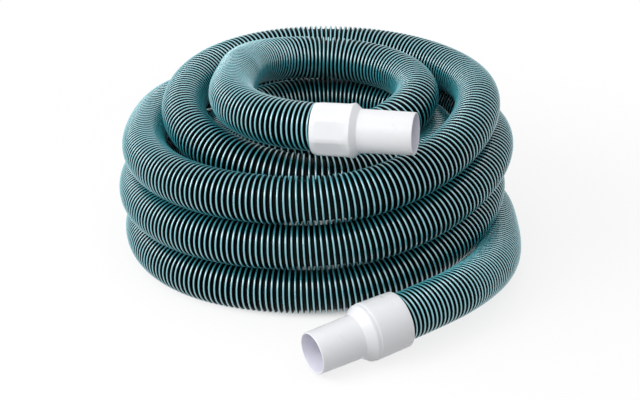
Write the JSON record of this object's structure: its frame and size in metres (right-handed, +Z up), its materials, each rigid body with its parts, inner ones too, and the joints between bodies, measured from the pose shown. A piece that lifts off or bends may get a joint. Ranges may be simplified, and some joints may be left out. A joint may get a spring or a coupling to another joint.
{
  "type": "pool vacuum hose",
  "caption": "Coiled ribbed pool vacuum hose with a fixed cuff on its upper end and a swivel cuff on its lower end.",
  "frame": {"origin": "centre of the bounding box, on the floor that the bottom turn lies on", "axes": "+Z up, the free lower end and its swivel cuff towards -Y, the upper cuff pointing towards +X"},
  "size_m": [0.4345, 0.5351, 0.2162],
  "materials": {
    "hose": "glossy black web with a teal bead",
    "white_cuff": "smooth moulded",
    "inner_sleeve": "moulded",
    "seal": "matte"
  },
  "bodies": {
    "hose": {"hose_coil": "hose", "hose_upper_end": "hose", "hose_lower_end": "hose", "fixed_cuff": "white_cuff", "swivel_sleeve": "inner_sleeve", "swivel_seal": "seal"},
    "swivel_cuff": {"swivel_cuff_shell": "white_cuff", "swivel_retaining_ring": "inner_sleeve"}
  },
  "joints": [
    {"name": "swivel_turn", "type": "hinge", "parent": "hose", "child": "swivel_cuff", "pos_m": [0.05317, -0.21451, 0.02949], "axis": [-0.8534, -0.5128, -0.0941], "continuous": true}
  ]
}
